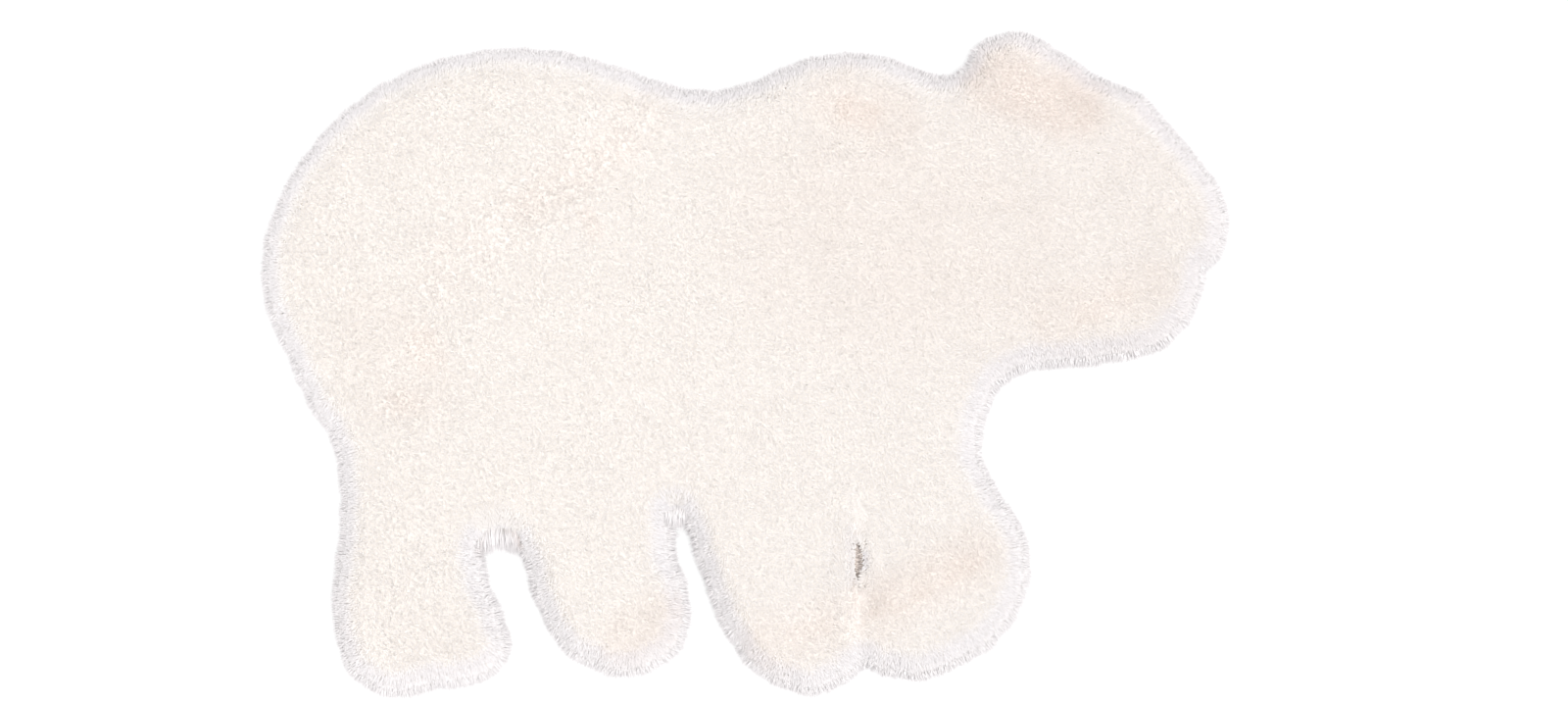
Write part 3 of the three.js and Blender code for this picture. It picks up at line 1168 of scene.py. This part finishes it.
        # Painted light beside the slit and just inside the edges that face away from the light
        inner = smoothstep(*self.painted_light_rise, inset) * (1.0 - smoothstep(*self.painted_light_fall, inset))
        tone += self.slit_painted_light * beside_slit
        tone += self.painted_light * apart * inner * np.clip(-out_x - self.painted_light_across * out_y, 0.0, 1.0)
        widths = self.width * rng.uniform(*self.width_range, count)
        widths *= 1.0 + self.edge_widening * near_edge * (1.0 - near_edge)
        return Strands(self.form, root, middle, tip, widths, unit(facing), warmth, edge, tone)


@dataclass
class RimCoat(Coat):
    """The hairs that grow from the pelt's side and hang over the edge."""

    rows: int = 17
    seed: int = 16
    inside: float = 0.0010
    width: float = 0.00115
    width_range: tuple[float, float] = (0.7, 1.2)
    reach: float = 0.0012
    unlike_reach: float = 0.0014
    tufting: SoftNoise = SoftNoise(0.009, 51)
    tuft_reach: float = 0.0010
    shortening: float = 0.40
    stray: float = 0.0026
    sway: SoftNoise = SoftNoise(0.007, 52)
    sway_side: float = 0.0022
    nap_run: float = 0.0010
    root_low: float = 0.0010
    root_rise: float = 0.0085
    tip_low: float = 0.0010
    tip_rise: float = 0.0110
    tip_range: tuple[float, float] = (0.6, 1.0)
    bend: tuple[float, float, float] = (0.5, 0.5, 0.45)
    bow: float = 0.0028
    unlike_facing: float = 0.12
    unlike_tone: float = 0.016
    hung_turn: float = 70.0
    hung_most: float = 0.85
    hung_rise: float = 0.45
    hung_even: float = 0.7
    # Painted light on the longer hairs that hang over the gaps' tops
    hung_painted_light: float = 3.0
    # Ticks of painted shade: hairs darkened on the side away from the light and in the shaded patches
    shade_tick_share: float = 0.12
    shade_tick_side: tuple[float, float] = (0.45, 0.9)
    shade_tick_shaded: float = 0.35
    shade_tick_dim: float = 0.18
    # Painted shade on the rim's hairs: darker overall, more on the lit side, in shaded patches and towards their tips
    shade_dim: float = 0.05
    rim_painted_shade: float = 0.018
    lit_painted_shade: float = 0.100
    tip_painted_shade: float = 0.09

    def roots(self, rng: np.random.Generator) -> tuple[np.ndarray, np.ndarray]:
        """Spreads roots along the backing's edge.

        Args:
            rng: Where the random shake comes from.

        Returns:
            The roots' x and y.
        """
        shape = self.shape
        x, y = (grid.ravel() for grid in np.meshgrid(*shape.axes(), indexing="ij"))
        chosen = np.abs(shape.inset.ravel() - shape.reserve(x, y) - self.inside) < shape.step
        chosen &= SLIT.nearness(x, y) < self.slit_free
        x, y = np.repeat(x[chosen], self.rows), np.repeat(y[chosen], self.rows)
        shake = rng.uniform(-0.5, 0.5, (2, len(x))) * shape.step
        return x + shake[0], y + shake[1]

    def grow(self) -> Strands:
        """Works out how each hair hangs and what colour it has.

        Returns:
            The hairs.
        """
        shape, rng = self.shape, np.random.default_rng(self.seed)
        x, y = self.roots(rng)
        count = len(x)
        out_x, out_y = self.outward(x, y)
        level = rng.uniform(0.0, 1.0, count)
        nap_x, nap_y = self.nap.at(x, y)
        longer, hung = self.patchwork.extra_length(x, y), self.hung(x, y)
        down = np.minimum(self.hung_turn * longer, self.hung_most)
        out_x, out_y = out_x * (1.0 - down), out_y * (1.0 - down) - down
        run = shape.read(shape.inset, x, y) + self.reach + self.unlike_reach * rng.normal(0.0, 1.0, count)
        run += self.tuft_reach * self.tufting.at(x, y) + longer
        run *= 1.0 - self.shortening * np.maximum(rng.uniform(-1.0, 1.0, count), 0.0)
        side = self.stray * rng.normal(0.0, 1.0, count) + self.sway_side * self.sway.at(x, y)
        tip_x = x + run * out_x - side * out_y + self.nap_run * nap_x
        tip_y = y + run * out_y + side * out_x + self.nap_run * nap_y
        tip_z = self.tip_low + self.tip_rise * level * rng.uniform(*self.tip_range, count) + self.hung_rise * longer
        root = np.column_stack([x, y, self.root_low + self.root_rise * level])
        tip = np.column_stack([tip_x, tip_y, tip_z])
        middle = root + (tip - root) * np.array(self.bend)
        middle[:, 2] += self.bow * level
        even = 1.0 - self.hung_even * hung
        facing = shape.slope(tip_x, tip_y)
        facing += self.unlike_facing * even[:, None] * rng.normal(0.0, 1.0, (count, 3))
        lit = self.tones.towards_light(out_x, out_y)
        halfway = shape.read(shape.inset, 0.5 * (x + tip_x), 0.5 * (y + tip_y))
        _, ring = self.tones.shares(lit, halfway, np.ones(count))
        _, _, shade = self.patchwork.at(tip_x, tip_y)
        # Ticks of painted shade between the hanging hairs, on the side away from the light and in the shaded patches
        chance = self.shade_tick_share * smoothstep(*self.shade_tick_side, 1.0 - lit) + self.shade_tick_shaded * shade
        shade_tick = rng.uniform(0.0, 1.0, count) < chance
        tone = 1.0 + self.unlike_tone * even * rng.normal(0.0, 1.0, count) - self.shade_tick_dim * shade_tick
        # Painted shade over the rim's hairs: more on the lit side, in the shaded patches and in the ring away from
        # the light
        tone -= self.shade_dim * shade + self.rim_painted_shade + self.lit_painted_shade * lit + self.tones.ring_painted_shade * ring
        # Painted light on the longer hairs over the gaps' tops; the tone also darkens towards the head and the paws
        tone += self.hung_painted_light * longer - self.tones.fading(x, y)
        widths = self.width * rng.uniform(*self.width_range, count)
        # The patches' shade also gives these hairs the warm tint, as painted shade
        return Strands(
            HairForm.HAIR, root, middle, tip, widths, unit(facing), shade, np.ones(count), tone, self.tip_painted_shade
        )


@dataclass
class SlotLining:
    """The short hairs at the foot of the slit's walls, which close it below: partly the underfur there, partly a
    stand-in for the shade in the slit, with the full warm tint painted on as shade.
    """

    count: int = 1100
    seed: int = 18
    past_ends: float = 0.02
    low: tuple[float, float] = (0.0020, 0.0085)
    run: tuple[float, float] = (0.8, 1.9)
    slant: float = 0.0022
    sunk: float = 0.0004
    droop: tuple[float, float] = (0.3, 0.9)
    bend: tuple[float, float, float] = (0.5, 0.5, 0.3)
    unlike_facing: float = 0.15
    unlike_tone: float = 0.14
    width: float = 0.0006
    width_range: tuple[float, float] = (0.7, 1.3)

    def grow(self) -> Strands:
        """Works out how each hair lies across the slot.

        Returns:
            The hairs.
        """
        rng, count = np.random.default_rng(self.seed), self.count
        (x0, y0), (x1, y1) = SLIT.line.start, SLIT.line.end
        along = rng.uniform(-self.past_ends, 1.0 + self.past_ends, count)
        side = rng.choice([-1.0, 1.0], count)
        x, y = x0 + along * (x1 - x0) + side * SLIT.half_slot, y0 + along * (y1 - y0)
        low = rng.uniform(*self.low, count)
        run = rng.uniform(*self.run, count) * SLIT.half_slot
        slant = self.slant * rng.normal(0.0, 1.0, count)
        root = np.column_stack([x + self.sunk * side, y, low])
        tip = np.column_stack([x - side * run, y + slant, low * rng.uniform(*self.droop, count)])
        middle = root + (tip - root) * np.array(self.bend)
        facing = np.tile([0.0, 0.0, 1.0], (count, 1)) + self.unlike_facing * rng.normal(0.0, 1.0, (count, 3))
        tone = 1.0 + self.unlike_tone * rng.normal(0.0, 1.0, count)
        widths = self.width * rng.uniform(*self.width_range, count)
        # The lining hairs take the full warm tint, as painted shade of the slit
        return Strands(HairForm.HAIR, root, middle, tip, widths, unit(facing), np.ones(count), np.zeros(count), tone)


@dataclass
class Pile:
    """The pile: close tufts that make its body, finer hairs over them, the hanging rim and the slit's lining."""

    shape: PeltShape
    legs: float = 0.30
    hind: float = 0.47
    cuts: tuple[float, float, float] = (0.27, 0.50, 0.73)

    def area_of(self, x: np.ndarray, y: np.ndarray) -> np.ndarray:
        """Says which area each root is in.

        Args:
            x: The roots' places along the rug.
            y: The roots' places across the rug.

        Returns:
            The number of the area, in the order of Area.
        """
        (low_x, low_y, _), (high_x, high_y, _) = CAD_BOX
        along, across = (x - low_x) / (high_x - low_x), (y - low_y) / (high_y - low_y)
        order = list(Area)
        leg = np.where(along < self.hind, order.index(Area.HIND_LEGS), order.index(Area.FRONT_LEGS))
        return np.where(across < self.legs, leg, np.digitize(along, self.cuts))

    def build(self) -> list[bpy.types.Object]:
        """Models the whole pile, one piece for each area.

        Returns:
            The pieces.
        """
        creases = Creases()
        tufts = TopCoat(self.shape, creases=creases)
        hairs = TopCoat(
            self.shape, creases=creases, form=HairForm.HAIR, spacing=0.00220, width=0.00085, lean=0.00342,
            looseness=0.0014, root_seed=14, seed=15,
        )
        coats = [coat.grow() for coat in (tufts, hairs, RimCoat(self.shape), SlotLining())]
        pieces = []
        for number, area in enumerate(Area):
            here = [coat.pick(self.area_of(coat.root[:, 0], coat.root[:, 1]) == number) for coat in coats]
            piece = HairMesh(area.value, here).build()
            log.info("%s: %d hairs, %d faces", piece.name, sum(c.count for c in here), len(piece.data.polygons))
            pieces.append(piece)
        return pieces


@dataclass
class HairMesh:
    """One piece of the pile as a joined mesh, made from arrays."""

    name: str
    coats: list[Strands]
    chart_margin: float = 0.08
    tuft_turn: float = 0.20
    hair_turn: float = 0.14
    bend_width: float = 0.9
    bend_reach: float = 0.55

    def build(self) -> bpy.types.Object:
        """Makes the mesh of all the coats.

        Returns:
            The piece, at the origin.
        """
        places, faces, facing, charts, values = [], [], [], [], {}
        cells = math.ceil(math.sqrt(max(sum(coat.count for coat in self.coats), 1)))
        total, number = 0, 0
        for coat in self.coats:
            points, tris, reach, chart, normals = self.tuft(coat) if coat.form is HairForm.TUFT else self.hair(coat)
            each = points.shape[1]
            first = total + each * np.arange(coat.count)
            faces.append((first[:, None, None] + tris[None]).reshape(-1, 3))
            places.append(points.reshape(-1, 3))
            facing.append(normals.reshape(-1, 3))
            cell = number + np.arange(coat.count)
            corner = np.column_stack([cell % cells, cell // cells])[:, None, None, :] + self.chart_margin
            charts.append(((corner + (1.0 - 2.0 * self.chart_margin) * chart[None]) / cells).reshape(-1, 2))
            total += each * coat.count
            number += coat.count
            reaches = np.tile(reach, coat.count)
            spread = {key: np.repeat(getattr(coat, key), each) for key in ("warmth", "edge", "tone")}
            # Coats with a fade, the rim's, are painted darker towards their tips, as shade at the edge
            spread["tone"] -= coat.fade * reaches
            for key, value in {**spread, "reach": reaches}.items():
                values.setdefault(key, []).append(value)
        mesh = self.mesh_of(np.concatenate(places), np.concatenate(faces))
        chart_map = mesh.uv_layers.new(name="OFBake")
        chart_map.uv.foreach_set("vector", np.concatenate(charts).ravel().astype(np.float32))
        put_values(mesh, {key: np.concatenate(parts) for key, parts in values.items()})
        normals = mesh.attributes.new("custom_normal", "FLOAT_VECTOR", "POINT")
        normals.data.foreach_set("vector", np.concatenate(facing).ravel().astype(np.float32))
        piece = bpy.data.objects.new(self.name, mesh)
        bpy.context.scene.collection.objects.link(piece)
        return piece

    def mesh_of(self, places: np.ndarray, faces: np.ndarray) -> bpy.types.Mesh:
        """Makes a mesh of triangles.

        Args:
            places: Its points, one row each.
            faces: The three corners of each face.

        Returns:
            The mesh, shaded smooth.
        """
        mesh = bpy.data.meshes.new(self.name)
        mesh.vertices.add(len(places))
        mesh.vertices.foreach_set("co", places.ravel().astype(np.float32))
        mesh.loops.add(faces.size)
        mesh.loops.foreach_set("vertex_index", faces.ravel().astype(np.int32))
        mesh.polygons.add(len(faces))
        mesh.polygons.foreach_set("loop_start", np.arange(0, faces.size, 3, dtype=np.int32))
        mesh.update(calc_edges=True)
        mesh.shade_smooth()
        return mesh

    @staticmethod
    def across(coat: Strands) -> tuple[np.ndarray, np.ndarray]:
        """Finds two directions square to each hair.

        Args:
            coat: The hairs.

        Returns:
            A level direction and one square to it and to the hair that points up, both of length 1.
        """
        along = unit(coat.tip - coat.root)
        side = unit(np.column_stack([-along[:, 1], along[:, 0], np.zeros(len(along))]))
        return side, np.cross(along, side)

    @staticmethod
    def lit(coat: Strands, turned: np.ndarray) -> np.ndarray:
        """Blends the direction that the pile's surface faces with the way a point of a hair is turned."""
        return unit(coat.facing[:, None, :] + turned)

    def tuft(self, coat: Strands) -> tuple[np.ndarray, np.ndarray, np.ndarray, np.ndarray, np.ndarray]:
        """Shapes tufts as slim three-sided cones.

        Args:
            coat: The tufts.

        Returns:
            The points of each, the faces of one, how far up each point is, the chart of one, and the way each point
            faces.
        """
        side, up = self.across(coat)
        turns = 2.0 * math.pi * np.arange(3) / 3.0
        offsets = np.stack([math.cos(turn) * side + math.sin(turn) * up for turn in turns], axis=1)
        corners = coat.root[:, None, :] + 0.5 * coat.width[:, None, None] * offsets
        points = np.concatenate([corners, coat.tip[:, None, :]], axis=1)
        turned = np.concatenate([self.tuft_turn * offsets, np.zeros((coat.count, 1, 3))], axis=1)
        tris = np.array([[0, 1, 3], [1, 2, 3], [2, 0, 3]])
        chart = np.array([[[k / 3, 0.0], [(k + 1) / 3, 0.0], [(k + 0.5) / 3, 1.0]] for k in range(3)])
        return points, tris, np.array([0.0, 0.0, 0.0, 1.0]), chart, self.lit(coat, turned)

    def hair(self, coat: Strands) -> tuple[np.ndarray, np.ndarray, np.ndarray, np.ndarray, np.ndarray]:
        """Shapes hairs as thin bent blades that end in a point and face up.

        Args:
            coat: The hairs.

        Returns:
            The points of each, the faces of one, how far up each point is, the chart of one, and the way each point
            faces.
        """
        side, _ = self.across(coat)
        half = 0.5 * coat.width[:, None] * side
        bend = self.bend_width * half
        points = np.stack(
            [coat.root + half, coat.root - half, coat.middle + bend, coat.middle - bend, coat.tip], axis=1
        )
        leans = np.array([1.0, -1.0, 1.0, -1.0, 0.0])
        reach = np.array([0.0, 0.0, self.bend_reach, self.bend_reach, 1.0])
        widths = np.array([1.0, 1.0, self.bend_width, self.bend_width, 0.0])
        tris = np.array([[0, 1, 3], [0, 3, 2], [2, 3, 4]])
        chart = np.column_stack([0.5 + 0.5 * leans * widths, reach])[tris]
        return points, tris, reach, chart, self.lit(coat, self.hair_turn * leans[None, :, None] * side[:, None, :])


@dataclass
class Studio:
    """A pale floor, soft lights and the camera."""

    floor_size: float = 12.0
    floor_colour: tuple[float, float, float] = (0.40, 0.40, 0.40)
    floor_glow: float = 0.60
    floor_roughness: float = 0.9
    fill: float = 1.085
    key_power: float = 1.6
    key_angle: float = math.radians(35.0)
    key_place: tuple[float, float, float] = (1.1, -1.0, 2.6)
    frame_pixels: tuple[int, int] = (1600, 718)
    pixel: float = 0.000911
    distance: float = 2.4
    elevation: float = 80.0
    aim: tuple[float, float, float] = (0.0354, 0.0054, 0.0)
    sensor: float = 36.0

    def build(self) -> None:
        """Makes the floor, the lights and the camera."""
        self.floor()
        self.lights()
        self.camera()
        bpy.context.scene.view_settings.view_transform = "Standard"

    def floor(self) -> None:
        """Lays a plain pale floor."""
        deselect_all()
        bpy.ops.mesh.primitive_plane_add(size=self.floor_size, location=(0.0, 0.0, 0.0))
        floor = bpy.context.active_object
        floor.name = "floor"
        material, shader = plain_material("floor", self.floor_roughness, 0.0)
        shader.inputs["Base Color"].default_value = (*self.floor_colour, 1.0)
        shader.inputs["Emission Color"].default_value = (1.0, 1.0, 1.0, 1.0)
        shader.inputs["Emission Strength"].default_value = self.floor_glow
        floor.data.materials.append(material)

    def lights(self) -> None:
        """Shines one broad soft light from the side of the head and paws, and lights the room evenly."""
        world = bpy.data.worlds.new("studio")
        world.use_nodes = True
        background = world.node_tree.nodes["Background"]
        background.inputs["Color"].default_value = (1.0, 1.0, 1.0, 1.0)
        background.inputs["Strength"].default_value = self.fill
        bpy.context.scene.world = world
        deselect_all()
        bpy.ops.object.light_add(type="SUN", location=self.key_place)
        key = bpy.context.active_object
        key.name = "key"
        key.data.energy = self.key_power
        key.data.angle = self.key_angle
        key.rotation_euler = (-Vector(self.key_place)).to_track_quat("-Z", "Y").to_euler()

    def camera(self) -> None:
        """Places the camera almost straight above, leaning from the paws' side."""
        tilt = math.radians(self.elevation)
        deselect_all()
        place = Vector(self.aim) + self.distance * Vector((0.0, -math.cos(tilt), math.sin(tilt)))
        bpy.ops.object.camera_add(location=place, rotation=(math.radians(90.0) - tilt, 0.0, 0.0))
        camera = bpy.context.active_object
        camera.data.sensor_width = self.sensor
        camera.data.lens = self.sensor * self.distance / (self.frame_pixels[0] * self.pixel)
        bpy.context.scene.camera = camera


def main() -> None:
    """Builds the rug and the studio, and hands every piece to the frame."""
    logging.basicConfig(level=logging.INFO, format="%(name)s: %(message)s")
    Studio().build()
    shape = PeltShape(RUG_NODE)
    log.info("maps of %d by %d places", *shape.inset.shape)
    plush, backing = PlushFinish(), BackingFinish()
    maker = Pelt(shape)
    pelt = maker.build()
    maker.dress(pelt, plush, backing)
    log.info("pelt: %d faces", len(pelt.data.polygons))
    pieces = Pile(shape).build()
    fibre = plush.material("plush_pile")
    for piece in pieces:
        piece.data.materials.append(fibre)
        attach(piece, BODY)
    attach(pelt, BODY)
    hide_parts(RUG_NODE)


if __name__ == "__main__":
    main()
